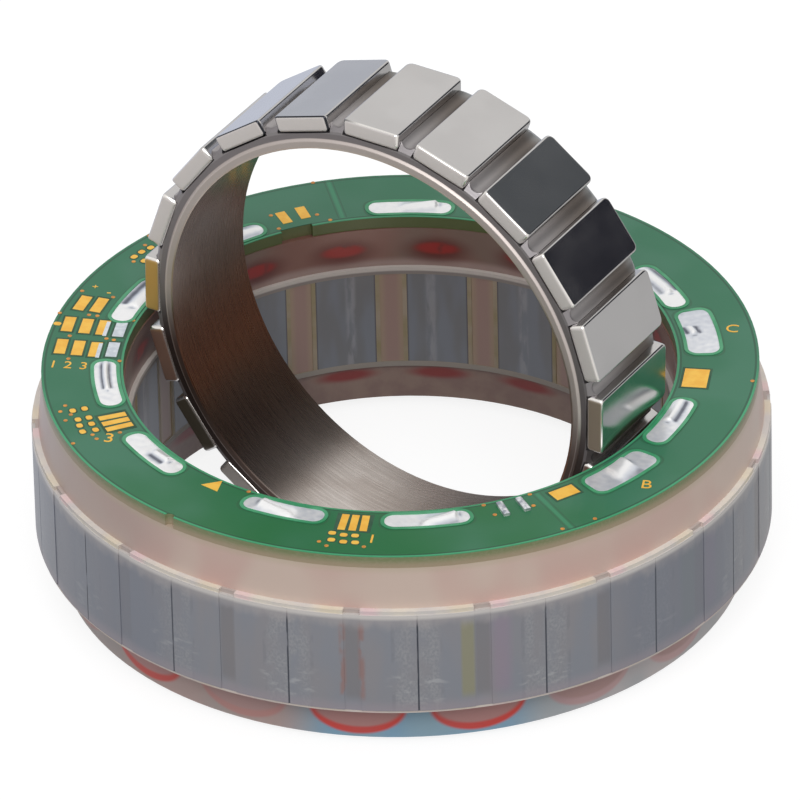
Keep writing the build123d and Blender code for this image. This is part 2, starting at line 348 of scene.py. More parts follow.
lamination, tree, shader, here = new_finish(
    "lamination", Metallic=0.2, Coat_Weight=0.5, Coat_Roughness=0.25
)
spot = use_group(tree, stator_places)
flat = unroll(tree, spot)
cloud = noise(tree, flat, 6, (0.6, 1, 2.5), seed=3)
grain = noise(tree, flat, 0.3, (1, 1, 1.3), detail=3, seed=7)
smears = noise(tree, flat, 0.8, (2.5, 1, 1), detail=3, seed=5)
mottle = noise(tree, flat, 1.8, (1, 1, 1.8), seed=11)
off = reckon(tree, "ABSOLUTE", spot["Off Tooth"])
left = reckon(tree, "MULTIPLY", spot["Off Tooth"], -1)
on_rim = fade(tree, spot["Radius"], RIM_RADIUS - 2, RIM_RADIUS - 1)
shade = blended(tree, cloud, (142, 141, 146), (136, 140, 149))

# Beside the joints the steel was ground: finely speckled, with pale smears near the foot.
ground = both(tree, on_rim, fade(tree, off, *GROUND))
speckled = blended(tree, grain, (138, 140, 146), (153, 154, 159))
shade = mixed(tree, both(tree, ground, fade(tree, mottle, 0.3, 0.65)), shade, speckled)
step = both(tree, on_rim, band(tree, off, *STEP))
shade = tinted(tree, shade, (112, 114, 124), step, fade(tree, mottle, 0.45, 0.6), 0.3)
low_third = band(tree, spot["Height"], stack_low + 1.2, stack_low + 5, 2)
smeared = both(tree, on_rim, fade(tree, off, *SMEARED), low_third, fade(tree, smears, 0.52, 0.68))
shade = tinted(tree, shade, (184, 185, 188), smeared, 0.5)

# Resin smears tint both sides of the groove, differently on each segment.
back = both(tree, on_rim, band(tree, spot["Height"], stack_low + 1.6, stack_high - 1.2, 1.6))
shade = tinted(tree, shade, (124, 121, 124), back, band(tree, off, -1, GROOVE_HALF - 0.1, 0.5), 0.7)
rusty = both(tree, fade(tree, spot["Chance"], *RUSTY_ONES), band(tree, off, *RUST))
shade = tinted(tree, shade, (148, 116, 112), back, rusty, fade(tree, mottle, 0.38, 0.55), 0.85)
yellow_one = band(tree, spot["Chance"], *YELLOW_ONES)
shade = tinted(tree, shade, (146, 143, 112), back, yellow_one, band(tree, left, *YELLOW), 0.8)
green_one = fade(tree, spot["Chance"], *GREEN_ONES)
shade = tinted(tree, shade, (130, 139, 132), back, green_one, band(tree, left, *GREEN), 0.6)
purple_one = reckon(tree, "MAXIMUM", green_one, yellow_one)
shade = tinted(tree, shade, (150, 134, 152), back, purple_one, band(tree, left, *PURPLE), 0.6)

# On the segments away from the front the steel is painted a little darker and bluer: painted shade and a
# painted reflection of the cooler room.
painted_cool_reflection = (band(tree, spot["Turn"], *sector) for sector in (COOL_REFLECTION_LEFT, COOL_REFLECTION_RIGHT))
painted_cool_reflection = reckon(tree, "MAXIMUM", *painted_cool_reflection)
shade = tinted(tree, shade, (118, 124, 138), on_rim, painted_cool_reflection, 0.6)

# It is paler along the top edge and at the foot, and the joints between the yokes are dark.
waved = reckon(tree, "MULTIPLY_ADD", mottle, 2.4, spot["Height"])
near_top = fade(tree, waved, stack_high - 1.0, stack_high + 0.8)
shade = tinted(tree, shade, (174, 168, 168), on_rim, near_top, 0.6)
top_edge = fade(tree, spot["Height"], stack_high - 0.8, stack_high - 0.25)
shade = tinted(tree, shade, (216, 211, 207), on_rim, top_edge, 0.9)
near_foot = fade(tree, spot["Height"], stack_low + 1.8, stack_low + 0.1)
shade = tinted(tree, shade, (164, 152, 160), on_rim, near_foot, 0.5)
joint = both(tree, on_rim, fade(tree, off, *JOINT))
joint = both(tree, joint, fade(tree, spot["Height"], stack_high - 0.7, stack_high - 1.7))
shade = tinted(tree, shade, (62, 68, 80), joint, fade(tree, mottle, 0.28, 0.42), 0.9)

# In the bore the tooth faces are plain steel with one polished streak.
in_bore = fade(tree, spot["Radius"], BORE_RADIUS + 0.8, BORE_RADIUS + 0.3)
bore_shade = blended(tree, cloud, (118, 118, 121), (124, 128, 136), 0.4, 0.6)
streak = reckon(tree, "MULTIPLY_ADD", spot["Chance"], 2.4, -1.2)
off_streak = reckon(tree, "SUBTRACT", spot["Off Tooth"], streak)
rubbed = noise(tree, here, 0.8, (1, 1, 4), detail=3, seed=9)
polished = both(tree, band(tree, off_streak, -0.55, 0.55, 0.5), fade(tree, rubbed, 0.35, 0.6))
bore_shade = tinted(tree, bore_shade, (168, 168, 172), polished, 0.45)
bore_shade = tinted(tree, bore_shade, (86, 82, 84), fade(tree, off, SHOE_HALF - 0.2, SHOE_HALF))
paint(tree, shader, mixed(tree, in_bore, shade, bore_shade))
tree.links.new(reckon(tree, "MULTIPLY_ADD", grain, 0.15, 0.35), shader.inputs["Roughness"])
bump(tree, shader, grain, depth=0.004)
dress(lamination, *(f"core_segment_{tooth:02d}" for tooth in range(1, TEETH + 1)))


# Bobbins: thin-walled mouldings in natural plastic that insulate each segment. Their flanges show
# as a pale line above and below the stack, and their liners beside the teeth in the bore.
NOTCH = (-0.95, 0.95, 0.2)

bobbin_plastic, tree, shader, here = new_finish("bobbin_plastic", Roughness=0.5)
spot = use_group(tree, stator_places)
cloud = noise(tree, here, 3.5, detail=3, seed=1)
shade = blended(tree, cloud, (226, 218, 206), (214, 208, 204))
off = spot["Off Tooth"]
yellow = band(tree, off, -3.8, -0.9, 2)
shade = tinted(tree, shade, (234, 218, 184), yellow, 0.5)
pink = band(tree, off, 0.9, 3.0, 1.6)
shade = tinted(tree, shade, (238, 194, 202), pink, 0.5)
low_line = fade(tree, spot["Height"], stack_low + 0.6, stack_low + 0.2)
shade = tinted(tree, shade, (214, 200, 192), low_line, 0.6)
notch = band(tree, off, *NOTCH)
shade = tinted(tree, shade, (176, 160, 154), notch, fade(tree, low_line, 0.5, 0), 0.8)
in_bore = fade(tree, spot["Radius"], BORE_RADIUS + 2.0, BORE_RADIUS + 1.2)
liner = blended(tree, cloud, (150, 138, 106), (166, 152, 134), 0.3, 0.7)
ring = fade(tree, spot["Height"], stack_high - 0.5, stack_high - 0.3)
liner = tinted(tree, liner, (140, 132, 128), ring)
ring = band(tree, spot["Height"], stack_high + 0.05, stack_high + 0.7, 0.25)
liner = tinted(tree, liner, (204, 196, 190), ring)
ring = fade(tree, spot["Height"], stack_low + 0.5, stack_low + 0.3)
liner = tinted(tree, liner, (158, 150, 142), ring)
paint(tree, shader, mixed(tree, in_bore, shade, liner))
bump(tree, shader, noise(tree, here, 0.4, seed=5), depth=0.01)
dress(bobbin_plastic, "bobbins")


# Coils: enamelled copper wire wound in close layers on each bobbin, every third one for the same
# phase. The casting hides them, apart from the patches that shimmer through it.
# The height of a band of layers. Blender's wave goes through 20 radians in one unit.
LAYER = 3.1416
WAVE_TURN = math.tau / 20

winding, tree, shader, here = new_finish("winding", Metallic=0.6, Roughness=0.3, Coat_Weight=0.4)
waves = {"Vector": here, "Scale": WAVE_TURN / (LAYER * MM), "Distortion": 0.3}
turns = add_node(tree, "TexWave", waves, bands_direction="Z").outputs["Fac"]
paint(tree, shader, tinted(tree, colour(96, 30, 14), (188, 84, 46), turns))
bump(tree, shader, turns, depth=0.1)
dress(winding, "coils_phase_u", "coils_phase_v", "coils_phase_w")


# Potting: one casting of clouded resin round both rows of end turns and down the slots. The red
# coils shimmer through it as bowls on the foot and as patches in the bore.
potting_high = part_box("potting")[1].z / MM
foot_top = stack_low - 0.3
# The ovals in which the coils shimmer through: their middle's height, half width and half height.
FOOT_RING = (4.6, 5.4, 3.35)
FOOT_BOWL = (4.6, 4.95, 2.5)
HIGH_PATCH = (21.7, 4.6, 2.1)
EMBER = (21.9, 3.0, 0.95)
LOW_PATCH = (4.85, 4.0, 0.95)
CLEAR_ONES = (0.55, 0.4)
# Turns in radians, with softness, where painted shade makes the head browner on the left.
SHADED_LEFT = radians(-146, -100, 16)
BLUE_FROM = radians(-82, -70)
PALE_FROM = radians(-44, -34)


def oval(tree, spot, middle_height, half_width, half_height):
    """How far a point is from the middle of the coil's patch: 1 on the oval's edge."""
    across = reckon(tree, "DIVIDE", spot["Off Tooth"], half_width)
    up = reckon(tree, "DIVIDE", reckon(tree, "SUBTRACT", spot["Height"], middle_height), half_height)
    return hypotenuse(tree, up, across)


resin, tree, shader, here = new_finish("resin", Roughness=0.36, Coat_Weight=0.3, Coat_Roughness=0.25)
spot = use_group(tree, stator_places)
cloud = noise(tree, here, 9, (1, 1, 1.3), detail=1, seed=2)
wisps = noise(tree, here, 2.5, detail=3, seed=6)
outside = fade(tree, spot["Radius"], 36, 37)
above = fade(tree, spot["Height"], stack_high - 0.4, stack_high)
below = fade(tree, spot["Height"], foot_top + 0.4, foot_top)

# Outside above the core it is cloudy pink, painted browner on the left as shade, and olive under the board.
head = blended(tree, cloud, (206, 185, 172), (202, 174, 163), 0.38, 0.62)
lower = fade(tree, spot["Height"], potting_high - 1, potting_high - 4.5)
head = tinted(tree, head, (206, 164, 154), fade(tree, cloud, 0.42, 0.72), lower, 0.5)
head = tinted(tree, head, (170, 150, 143), band(tree, spot["Turn"], *SHADED_LEFT), 0.6)
olive = fade(tree, spot["Height"], potting_high - 1.0, potting_high)
head = tinted(tree, head, (184, 172, 146), olive, 0.5)

# Outside below the core each coil is a red ring round a paler bowl, clearer on some teeth. The
# foot is pinkish on the left, blue in front and pale on the right.
clear = fade(tree, spot["Chance"], *CLEAR_ONES)
foot = blended(tree, cloud, (178, 166, 162), (190, 164, 158))
blue = blended(tree, cloud, (132, 174, 202), (150, 180, 196))
foot = mixed(tree, fade(tree, spot["Turn"], *BLUE_FROM), foot, blue)
pale = blended(tree, cloud, (178, 184, 188), (204, 196, 196))
foot = mixed(tree, fade(tree, spot["Turn"], *PALE_FROM), foot, pale)
ring = blended(tree, cloud, (224, 56, 36), (212, 66, 56), 0.4, 0.6)
strength = reckon(tree, "MULTIPLY_ADD", clear, 0.65, 0.3)
ringed = both(tree, fade(tree, oval(tree, spot, *FOOT_RING), 1.1, 0.97), strength)
foot = mixed(tree, ringed, foot, ring)
inside = tinted(tree, colour(186, 150, 146), (188, 138, 134), clear)
foot = mixed(tree, fade(tree, oval(tree, spot, *FOOT_BOWL), 1.1, 0.92), foot, inside)
outer = mixed(tree, below, head, foot)

# Inside above the core each coil glows as a red patch on a brown wall.
wall = blended(tree, cloud, (118, 95, 84), (126, 87, 76), 0.4, 0.6)
wall = tinted(tree, wall, (156, 134, 128), fade(tree, spot["Height"], 20.9, 19.8))
wall = tinted(tree, wall, (90, 24, 14), fade(tree, oval(tree, spot, *HIGH_PATCH), 1.15, 0.3))
ember = fade(tree, oval(tree, spot, *EMBER), 1.1, 0.5)
wall = tinted(tree, wall, (146, 16, 2), ember, fade(tree, wisps, 0.3, 0.5))

# The slots between the teeth, and the wall inside below the core.
off = reckon(tree, "ABSOLUTE", spot["Off Tooth"])
slot = tinted(tree, colour(164, 142, 122), (158, 130, 121), band(tree, off, 4.6, 6, 0.8))
low_wall = blended(tree, wisps, (148, 124, 112), (136, 110, 102))
patch = fade(tree, oval(tree, spot, *LOW_PATCH), 1.2, 0.4)
low_wall = tinted(tree, low_wall, (136, 46, 42), patch)
inner = mixed(tree, above, slot, wall)
inner = mixed(tree, below, inner, low_wall)
paint(tree, shader, mixed(tree, outside, inner, outer))
bump(tree, shader, noise(tree, here, 1.5, seed=8), depth=0.02)
dress(resin, "potting")


# Circuit board: a flat ring of glass-fibre laminate under green solder mask, bonded on the
# potting's head. Its cut edges show the laminate, and at the rims the mask ends in a painted highlight
# line.
BOARD_RIM = 41.15
BOARD_BORE = 31.76
board_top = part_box("circuit_board")[1].z / MM
# Where the joints and the tracks are, in degrees, and a slot's inner radius, width, half angle in
# degrees and corner.
COIL_JOINTS = (6.6, 57.5, 88.0, 118.9, 157.5, 186.0, 217.3, 244.9, 278.0, 306.0)
PHASE_JOINTS = (39.4, 346.6)
COIL_SLOT = (BOARD_BORE + 0.6, 2.9, 8.5, 0.95)
PHASE_SLOT = (BOARD_BORE + 1.1, 4.0, 8.0, 0.8)
TRACKS = (132.8, 329.1)
TRACK_LINE = (0.4, 0.55, 0.12)
TRACK_MIDDLE = (0.3, 0.15)
# How far in from both rims the painted highlight line and the dark one beside it lie. The side where
# the painted highlight shows best, and the side where the mask is the deepest green, with the least
# painted sheen.
HIGHLIGHT_LINE = (-1, 0.27)
DARK_LINE = (0.28, 0.52)
HIGHLIGHT_SIDE = -58
LESS_SHEEN_SIDE = -62


def turned_from(tree, turn, angle):
    """How far a turn is from an angle given in degrees, whichever way round is shorter."""
    return reckon(tree, "PINGPONG", reckon(tree, "SUBTRACT", turn, math.radians(angle)), math.pi)


board_green, tree, shader, here = new_finish(
    "board_green", Roughness=0.4, Specular_Ior_Level=0.35, Coat_Weight=0.15, Coat_Roughness=0.1
)
spot = use_group(tree, stator_places)
cloud = noise(tree, here, 16, seed=4)
fibres = noise(tree, here, 0.25, (4, 1, 1), seed=2)
shade = blended(tree, cloud, (44, 112, 80), (58, 118, 90), 0.42, 0.58)
# Towards this side the mask has less painted sheen, so it shows a deeper green.
less_sheen = fade(tree, turned_from(tree, spot["Turn"], LESS_SHEEN_SIDE), *radians(64, 34))
shade = tinted(tree, shade, (18, 104, 48), less_sheen, fade(tree, cloud, 0.75, 0.3), 0.8)

# A dark line runs round each long slot, outside the mask's bright rim.
for joints, form in ((COIL_JOINTS, COIL_SLOT), (PHASE_JOINTS, PHASE_SLOT)):
    inner, width, half_angle, corner = form
    apart = math.pi
    for angle in joints:
        apart = reckon(tree, "MINIMUM", apart, turned_from(tree, spot["Turn"], angle))
    middle = inner + width / 2
    beyond_end = reckon(tree, "MULTIPLY_ADD", apart, middle, corner - math.radians(half_angle) * middle)
    beyond_side = reckon(tree, "ABSOLUTE", reckon(tree, "SUBTRACT", spot["Radius"], middle))
    beyond_side = reckon(tree, "ADD", beyond_side, corner - width / 2)
    beyond_end = reckon(tree, "MAXIMUM", beyond_end, 0)
    beyond = hypotenuse(tree, beyond_end, reckon(tree, "MAXIMUM", beyond_side, 0))
    line = band(tree, beyond, corner + 0.2, corner + 0.45, 0.2)
    shade = tinted(tree, shade, (42, 84, 56), line, 0.5)

# Two tracks run across the ring under the mask, each between two dark lines.
across = band(tree, spot["Radius"], BOARD_BORE + 0.64, BOARD_RIM - 0.15, 0.2)
for angle in TRACKS:
    beside = reckon(tree, "MULTIPLY", turned_from(tree, spot["Turn"], angle), spot["Radius"])
    shade = tinted(tree, shade, (44, 80, 58), band(tree, beside, *TRACK_LINE), across, 0.5)
    shade = tinted(tree, shade, (62, 150, 108), fade(tree, beside, *TRACK_MIDDLE), across, 0.5)

# The painted highlight on the mask's edge shows all round the bore, and at the outer rim mostly in front.
facing = reckon(tree, "COSINE", reckon(tree, "SUBTRACT", spot["Turn"], math.radians(HIGHLIGHT_SIDE)))
facing = fade(tree, facing, -0.05, 0.3)
for edge, inward in ((BOARD_RIM, -1), (BOARD_BORE, 1)):
    line = band(tree, spot["Radius"], *sorted(edge + inward * far for far in DARK_LINE), 0.1)
    shade = tinted(tree, shade, (34, 74, 52), line, 0.7)
    line = band(tree, spot["Radius"], *sorted(edge + inward * far for far in HIGHLIGHT_LINE), 0.05)
    shown = reckon(tree, "MULTIPLY_ADD", facing, 0.85, 0.1) if edge == BOARD_RIM else 0.7
    shade = tinted(tree, shade, (66, 160, 112), line, shown)

# The cut edges are laminate, darker in the bore.
side = blended(tree, spot["Height"], (166, 150, 124), (122, 132, 92), board_top - 1.3, board_top - 0.3)
side = tinted(tree, side, (170, 160, 140), fade(tree, fibres, 0.4, 0.7), 0.2)
side = tinted(tree, side, (86, 96, 56), fade(tree, spot["Radius"], 33, 32))
on_side = fade(tree, spot["Height"], board_top - 0.05, board_top - 0.12)
paint(tree, shader, mixed(tree, on_side, shade, side))
bump(tree, shader, noise(tree, here, 0.8, seed=8), depth=0.004)
dress(board_green, "circuit_board")


# Bare copper on the board: gold-plated pads, bars and dots that the mask leaves open, small
# plated holes, and the numerals and phase letters. All of it is a few hundredths of a
# millimetre thick.
COPPER = 0.035
STRIP = 0.045
BARE = 0.012
CLEAR = 0.6
PRINT_TURN = math.radians(22.5)
# Sizes towards the ring's axis and along the ring, then the corners' radius.
BAR_SIZE = (3.2, 0.85)
BACK_BAR_SIZE = (2.6, 1.2)
PAD_SIZE = (1.3, 3.1)
PAD_OPENING = (1.8, 3.7)
STRIP_SIZE = (0.45, 3.1)
DOT_SIZE = (0.72, 0.86, 0.28)
DOT_OPENING = (1.05, 1.2, 0.4)
BARS_OPENING = (3.8, 4.2)
HOLE_SIZE = 0.5
# Radius in millimetres and angle in degrees of each middle; the pads' rows are also turned.
SQUARE_PAD = (34.1, 22.8, 2.85, 3.9)
OBLONG_PAD = (33.9, 333.9, 1.9, 3.1)
OVAL_PAD = (40.6, 197.5, 0.9, 0.7, 0.3)
GOLD_PADS = (
    (39.2, 190.3, 191), (37.2, 190.0, 191), (39.3, 197.3, 201), (37.2, 197.3, 201), (35.2, 197.2, 201),
    (39.2, 204.4, 203), (37.2, 204.7, 203), (35.2, 205.0, 203),
)
SILVER_PADS = ((33.2, 197.2, 201), (33.2, 204.8, 203))
SILVER_STRIPS = ((34.75, 197.5, 201), (34.75, 205.3, 203))
BAR_GROUPS = ((34.4, 292.2), (34.5, 231.1))
BAR_STEP = 2.0
DOTS = (
    (36.8, 288.9), (37.0, 291.0), (37.0, 293.0), (38.2, 289.2), (38.4, 291.3), (38.4, 293.3), (38.5, 225.1),
    (37.1, 225.0), (38.4, 228.1), (37.1, 228.1), (38.6, 230.0), (37.2, 230.2), (38.7, 232.0), (37.2, 232.3),
    (38.8, 169.3), (39.0, 171.3), (39.0, 173.3), (37.5, 173.3), (37.5, 171.4), (37.6, 169.3),
)
BACK_BARS = ((34.7, 143.9), (34.9, 139.9))
HOLES = (
    (32.1, 268.7), (40.4, 333.6), (40.3, 327.7), (41.0, 135.3), (32.3, 135.5), (32.7, 146.5), (33.9, 137.5),
    (35.8, 145.8), (32.2, 317.8), (34.5, 318.8), (32.2, 327.8), (34.5, 326.6), (40.3, 186.8), (36.4, 186.6),
    (41.0, 194.3), (38.6, 200.9), (37.6, 193.6), (36.6, 193.5), (34.3, 200.9), (33.4, 201.2), (38.1, 208.3),
    (32.3, 193.2), (32.2, 209.0), (39.2, 294.9), (39.1, 223.2), (39.9, 224.8), (38.9, 226.2), (39.8, 227.7),
    (37.9, 233.6), (37.8, 235.1), (40.6, 234.7), (34.9, 235.0), (40.6, 23.0), (38.8, 287.3), (39.5, 288.8),
    (40.8, 166.7), (39.7, 169.3), (38.4, 174.6),
)
ARROW = ((34.0, 259.5), (31.95, 261.9), (34.0, 263.5))
PRINTED = (
    ("1", 39.8, 210.1, 2.1), ("2", 38.1, 210.4, 2.1), ("3", 36.3, 210.8, 2.1), ("3", 36.5, 235.9, 2.6),
    ("1", 37.6, 296.0, 2.4), ("B", 38.8, 346.5, 2.4), ("C", 38.6, 39.4, 2.3), ("+", 39.3, 184.8, 1.4),
    ("-", 37.3, 185.4, 1.9),
)


def on_board(radius, angle, height=board_top):
    """A place on the board from its radius and its angle in degrees."""
    turn = math.radians(angle)
    return Vector((radius * math.cos(turn), radius * math.sin(turn), height))


def add_plate(bm, radius, angle, across, along, corner=0.0, thickness=COPPER, turned_to=None):
    """Adds a thin rectangular plate on the board, its short way pointing to the ring's axis."""
    place = Matrix.Translation(on_board(radius, angle, board_top + thickness / 2))
    place = place @ Matrix.Rotation(math.radians(turned_to or angle), 4, "Z")
    made = bmesh.ops.create_cube(bm, size=1, matrix=place @ Matrix.Diagonal((across, along, thickness, 1)))
    if corner:
        edges = {edge for vert in made["verts"] for edge in vert.link_edges}
        upright = [edge for edge in edges if edge.verts[0].co.xy == edge.verts[1].co.xy]
        bevelled(bm, upright, corner, segments=3)


def bevelled(bm, geometry, offset, segments, affect="EDGES"):
    """Rounds off edges or corners."""
    bmesh.ops.bevel(
        bm, geom=geometry, offset=offset, affect=affect, segments=segments, profile=0.5, material=-1
    )


def raised(bm, faces, height):
    """Gives flat faces a thickness, upwards."""
    top = bmesh.ops.extrude_face_region(bm, geom=faces, use_keep_orig=True)["geom"]
    top = [item for item in top if isinstance(item, bmesh.types.BMVert)]
    bmesh.ops.translate(bm, verts=top, vec=(0, 0, height))


def add_disc(bm, radius, angle, size, thickness=COPPER):
    place = Matrix.Translation(on_board(radius, angle, board_top + thickness / 2))
    bmesh.ops.create_cone(
        bm, cap_ends=True, segments=12, radius1=size / 2, radius2=size / 2, depth=thickness, matrix=place
    )


def add_piece(name, bm, finish, body, stands_for=(), smooth=False):
    """Makes a piece of a mesh drawn in millimetres, hangs it on the body it rides on, and hides the CAD
    nodes it stands for.
    """
    bmesh.ops.transform(bm, matrix=Matrix.Diagonal((MM, MM, MM, 1)), verts=bm.verts)
    bmesh.ops.recalc_face_normals(bm, faces=bm.faces)
    piece = bpy.data.objects.new(name, bpy.data.meshes.new(name))
    for face in bm.faces:
        face.smooth = smooth
    bm.to_mesh(piece.data)
    bm.free()
    piece.data.materials.append(finish)
    bpy.context.scene.collection.objects.link(piece)
    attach(piece, body)
    if stands_for:
        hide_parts(*stands_for)
    return piece


gold, tree, shader, here = new_finish("gold_plate", Roughness=0.4, Metallic=0.15)
tarnish = noise(tree, here, 1.2, detail=3)
paint(tree, shader, blended(tree, tarnish, (254, 200, 80), (248, 186, 66)))
bump(tree, shader, noise(tree, here, 0.2), depth=0.003)

bm = bmesh.new()
add_plate(bm, *SQUARE_PAD)
add_plate(bm, *OBLONG_PAD)
for radius, angle, turned_to in GOLD_PADS:
    add_plate(bm, radius, angle, *PAD_SIZE, turned_to=turned_to)
for radius, angle in BAR_GROUPS:
    for place in (-1, 0, 1):
        add_plate(bm, radius, angle + place * BAR_STEP, *BAR_SIZE)
for bar in BACK_BARS:
    add_plate(bm, *bar, *BACK_BAR_SIZE)
for dot in DOTS:
    add_plate(bm, *dot, *DOT_SIZE)
add_plate(bm, *OVAL_PAD)
raised(bm, [bm.faces.new([bm.verts.new(on_board(*corner)) for corner in ARROW])], COPPER)
add_piece("gold_pads", bm, gold, "stator")

silver, tree, shader, here = new_finish("silver_plate", Roughness=0.35, Metallic=0.3)
paint(tree, shader, blended(tree, noise(tree, here, 0.8), (226, 232, 238), (206, 214, 222)))
bm = bmesh.new()
for radius, angle, turned_to in SILVER_PADS:
    add_plate(bm, radius, angle, *PAD_SIZE, turned_to=turned_to)
for radius, angle, turned_to in SILVER_STRIPS:
    add_plate(bm, radius, angle, *STRIP_SIZE, 0, STRIP, turned_to)
add_piece("silver_pads", bm, silver, "stator")

# The mask stays clear of the copper, so that the bare laminate shows as a dark line round it.
bare, tree, shader, here = new_finish("bare_laminate", Roughness=0.6)
cloud = noise(tree, here, 2, seed=6)
paint(tree, shader, blended(tree, cloud, (36, 78, 56), (52, 92, 68)))
bm = bmesh.new()
for radius, angle, turned_to in GOLD_PADS + SILVER_PADS:
    add_plate(bm, radius, angle, *PAD_OPENING, 0, BARE, turned_to)
for radius, angle, across, along in (SQUARE_PAD, OBLONG_PAD):
    add_plate(bm, radius, angle, across + CLEAR, along + CLEAR, 0, BARE)
for bars in BAR_GROUPS:
    add_plate(bm, *bars, *BARS_OPENING, 0, BARE)
for dot in DOTS:
    add_plate(bm, *dot, *DOT_OPENING, BARE)
add_piece("bare_laminate", bm, bare, "stator")

copper, tree, shader, here = new_finish("plated_holes", Roughness=0.4, Metallic=0.2)
paint(tree, shader, blended(tree, noise(tree, here, 0.5), (236, 160, 66), (196, 128, 62)))
bm = bmesh.new()
for hole in HOLES:
    add_disc(bm, *hole, HOLE_SIZE)
add_piece("plated_holes", bm, copper, "stator")

bm = bmesh.new()
for text, radius, angle, size in PRINTED:
    curve = bpy.data.curves.new("print", "FONT")
    curve.body = text
    curve.size = size
    curve.align_x = "CENTER"
    curve.align_y = "CENTER"
    curve.extrude = COPPER / 2
    curve.resolution_u = 4
    letter = bpy.data.objects.new("print", curve)
    mesh = bpy.data.meshes.new_from_object(letter)
    place = Matrix.Translation(on_board(radius, angle, board_top + COPPER / 2))
    mesh.transform(place @ Matrix.Rotation(PRINT_TURN, 4, "Z"))
    bm.from_mesh(mesh)
    bpy.data.objects.remove(letter)
bmesh.ops.remove_doubles(bm, verts=bm.verts, dist=0.0001)
add_piece("board_letters", bm, gold, "stator")


# Solder joints: the coils' ends lie in long slots and are flowed over with solder, which
# freezes in soft humps and folds over the wires. Two larger joints take the phase leads.
JOINT_DEPTH = 1.4
JOINT_STEPS = (72, 22)
WIRE_HALF = 0.34
# The pool: its height at the slot's edge, how far it slopes up, its own height, its unevenness
# and the tone of its clouds, and how many of both come in a millimetre.
EDGE_HEIGHT = 0.01
SLOPE = 0.4
POOL_HEIGHT = 0.03
UNEVEN_HEIGHT = 0.03
UNEVEN_RATE = 0.9
CLOUD_TONE = 0.14
CLOUD_RATE = 1.7
# A wire: how fast it comes up and breaks off, and how its hump falls away to the sides.
START_REACH = 0.25
TIP_REACH = 0.09
HUMP_UNEVEN = 0.3
HUMP_POWER = 1.8
HUMP_FALL = 0.6
# The folds beside a wire: how far out they lie and how wide they are, in half widths of the wire,
# and how deep. The fold at its tip: how far off, how wide and how dark its painted shade is.
FOLD_OUT = 2.2
FOLD_WIDE = 1.15
FOLD_DEPTH = 0.05
TIP_OUT = 0.15
TIP_WIDE = 0.2
TIP_DARK = 0.7
# How bright the painted highlight on a wire's hump is, over the pool's tone.
WIRE_HIGHLIGHT = 1.1
# Where each wire starts and ends along its slot, from -1 to 1; how far it lies to the rim's side
# at its start and end; how high and how wide it stands; how dark the painted shade in the folds on
# its inner and outer side is; and how bright the pool is at both ends. In the order of the joints.
COIL_WIRES = (
    (1.1, -0.05, -0.35, -0.25, 0.42, 1.0, 0.2, 0.95, 0.6, 0.75),
    (1.1, -0.35, 0, 0.2, 0.4, 1.2, 0.7, 0.8, 0.85, 0.7),
    (-1.1, 0.3, 0, 0, 0.35, 1.2, 0.3, 0.5, 0.7, 0.8),
    (0.35, -0.66, -0.2, 0.5, 0.6, 1.5, 0.3, 0.2, 0.8, 0.75),
    (-1.1, 0.3, 0.1, 0, 0.4, 1.3, 0.5, 0.6, 0.7, 0.8),
    (-1.1, 0.3, -0.4, -0.3, 0.34, 1.6, 0.1, 0.95, 0.75, 0.8),
    (-1.1, 0.28, 0, 0, 0.42, 0.6, 0.9, 0.95, 0.7, 0.75),
    (-0.15, 0.5, -0.3, -0.35, 0.4, 1.1, 0.1, 0.95, 0.75, 0.8),
    (0.42, -0.66, 0.45, -0.35, 0.5, 2.4, 0.2, 0.3, 0.6, 0.55),
    (-0.2, 0.73, 0.5, -0.35, 0.6, 1.7, 0.25, 0.5, 0.75, 0.65),
)
PHASE_WIRES = (
    (0.35, -0.1, -0.6, -0.35, 0.45, 0.9, 1.0, 1.0, 0.6, 0.45),
    (-0.35, 0.45, 0.1, -0.6, 0.6, 3.2, 0.2, 0.6, 0.5, 0.6),
)
# The mask stands as a narrow rim round each slot, laps over the solder and rounds off its corners.
RIM_WIDTH = 0.42
RIM_LAP = 0.18
RIM_HEIGHT = 0.08
RIM_CORNER = 1.6
RIM_CUTS = 20


def eased(value):
    """Rises softly from 0 to 1."""
    value = min(max(value, 0), 1)
    return value * value * (3 - 2 * value)


def between(low, high, share):
    return low + (high - low) * share


